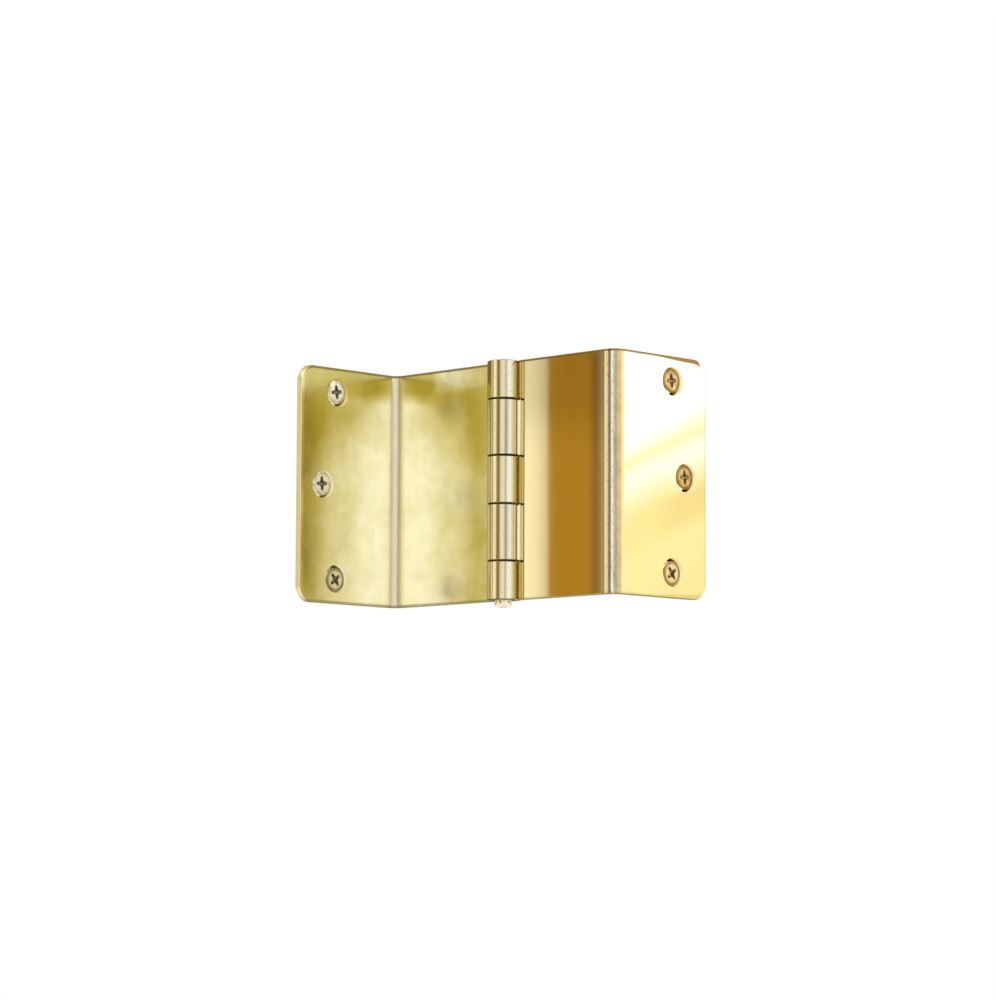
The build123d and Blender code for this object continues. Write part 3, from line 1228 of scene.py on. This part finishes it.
# The room's brightness by degrees to the right of the camera, seen from the hinge
ROOM = (
    (-180, (0.5, 0.42, 0.25)),
    (-140, (0.42, 0.33, 0.13)),
    (-112, (0.34, 0.25, 0.09)),
    (-98, (0.36, 0.27, 0.1)),
    (-93, (0.85, 0.8, 0.62)),
    (-88, (1.12, 1.12, 1.05)),
    (-72, (1.0, 0.96, 0.78)),
    (-58, (0.95, 0.9, 0.7)),
    (-48, (0.33, 0.26, 0.13)),
    (-36, (0.2, 0.15, 0.08)),
    (-29, (0.5, 0.44, 0.34)),
    (-22, (1.0, 0.97, 0.92)),
    (-8, (1.14, 1.12, 1.06)),
    (3, (1.12, 1.1, 1.05)),
    (8, (0.72, 0.73, 0.8)),
    (17, (0.7, 0.71, 0.8)),
    (23, (1.05, 1.1, 1.25)),
    (30, (1.15, 1.25, 1.6)),
    (52, (1.15, 1.22, 1.5)),
    (62, (1.1, 1.15, 1.2)),
    (88, (1.1, 1.15, 1.2)),
    (91, (0.58, 0.44, 0.16)),
    (108, (0.74, 0.69, 0.5)),
    (124, (1.0, 0.95, 0.7)),
    (145, (0.9, 0.84, 0.58)),
    (165, (0.55, 0.48, 0.32)),
    (180, (0.5, 0.42, 0.25)),
)

# How strongly the room lights what isn't glossy, and where its walls give way to the ceiling
PLAIN_LIGHT = 0.8
CEILING_RISE = (0.35, 0.75)
CEILING = (1.0, 1.0, 0.98)


def make_world():
    """White to the camera. In reflections, a room with pale walls and a few darker stretches."""
    world = bpy.data.worlds.new("room")
    bpy.context.scene.world = world
    world.use_nodes = True
    tree = world.node_tree
    tree.nodes.clear()
    x, y, z = parts(node(tree, "ShaderNodeTexCoord").outputs["Generated"])
    angle = minus(math_node("ARCTAN2", y, x), CAMERA_AZIMUTH - math.pi / 2)
    angle = math_node("WRAP", angle, math.pi, -math.pi)
    turn = remap_linear(angle, -math.pi, math.pi)
    stops = [((degrees + 180) / 360, colour) for degrees, colour in ROOM]
    walls = ramp_node(turn, stops)[0]
    room = blend_colour(remap(z, *CEILING_RISE), walls, CEILING)
    path = node(tree, "ShaderNodeLightPath").outputs
    plain = node(tree, "ShaderNodeBackground", {0: (1, 1, 1, 1), 1: PLAIN_LIGHT})
    seen = node(tree, "ShaderNodeBackground", {0: room, 1: 1.0})
    white = node(tree, "ShaderNodeBackground", {0: (1, 1, 1, 1), 1: 1.0})
    bounced = larger(path["Is Glossy Ray"], path["Is Transmission Ray"])
    lit = mixed(bounced, plain, seen)
    result = mixed(path["Is Camera Ray"], lit, white)
    send_out(result.outputs[0], "ShaderNodeOutputWorld")


def mixed(share, first, second):
    """Two shaders mixed by a share."""
    inputs = {0: share, 1: first.outputs[0], 2: second.outputs[0]}
    return node(share.id_data, "ShaderNodeMixShader", inputs)


FLOOR_HEIGHT = -0.25
FLOOR_GLOW = 0.7


def make_floor():
    """A pale floor that only its upper side shows."""
    bm = bmesh.new()
    bmesh.ops.create_grid(bm, x_segments=1, y_segments=1, size=1.0)
    floor = object_of("floor", bm)
    floor.location = (0, 0, FLOOR_HEIGHT)
    material, tree = new_material("pale_floor")
    path = node(tree, "ShaderNodeLightPath").outputs
    paint = node(tree, "ShaderNodeBsdfDiffuse", {0: (0.9, 0.9, 0.89, 1)})
    glow = node(tree, "ShaderNodeEmission", {0: (1, 1, 1, 1), 1: 1.0})
    seen = larger(path["Is Camera Ray"], path["Is Glossy Ray"])
    top = mixed(times(seen, FLOOR_GLOW), paint, glow)
    clear = tree.nodes.new("ShaderNodeBsdfTransparent")
    under = node(tree, "ShaderNodeNewGeometry").outputs["Backfacing"]
    send_out(mixed(under, top, clear).outputs[0])
    floor.data.materials.append(material)


# Name, place, size and power
LAMPS = (
    ("key", (-0.9, -1.3, 1.3), (1.0, 1.0), 9.0),
    ("fill", (1.6, 0.5, 1.0), (1.0, 1.0), 5.0),
    ("back", (-0.6, 1.5, 0.9), (1.0, 0.8), 4.0),
)


def make_lamp(name, place, size, power):
    """A large soft lamp that points at the hinge."""
    data = bpy.data.lights.new(name, "AREA")
    data.shape = "RECTANGLE"
    data.size, data.size_y = size
    data.energy = power
    lamp = bpy.data.objects.new(name, data)
    place = Vector(place)
    aim = (PIN_PLACE * MM - place).to_track_quat("-Z", "Y").to_matrix().to_4x4()
    lamp.matrix_world = Matrix.Translation(place) @ aim
    bpy.context.scene.collection.objects.link(lamp)


def dress(piece, node_name, body, material):
    """Puts a made piece in a CAD node's place, on its body, with its finish."""
    piece.data.materials.clear()
    piece.data.materials.append(material)
    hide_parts(node_name)
    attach(piece, body)


make_camera()
make_world()
make_floor()
for lamp in LAMPS:
    make_lamp(*lamp)
board_card()
window_card()

jamb, door, jamb_path, door_path = make_leaves()
pin = make_pin()
jamb_screws = make_screws("jamb_screw_set", JAMB_REACH, JAMB_DEPTH)
door_screws = make_screws("door_screw_set", SHEET - DOOR_REACH, -DOOR_DEPTH)

jamb_finish = leaf_brass("jamb_brass", JAMB_LOOK, *leaf_places(jamb_path))
door_finish = leaf_brass("door_brass", DOOR_LOOK, *leaf_places(door_path))
dress(jamb, "jamb_leaf", "jamb_side", jamb_finish)
dress(door, "door_leaf", "door_side", door_finish)
dress(pin, "hinge_pin", "jamb_side", pin_brass("pin_brass"))
jamb_screw_finish = screw_brass("jamb_screw_brass", JAMB_SCREW_LOOK)
door_screw_finish = screw_brass("door_screw_brass", DOOR_SCREW_LOOK)
dress(jamb_screws, "jamb_leaf_screws", "jamb_side", jamb_screw_finish)
dress(door_screws, "door_leaf_screws", "door_side", door_screw_finish)

bpy.context.scene.view_settings.view_transform = "Standard"
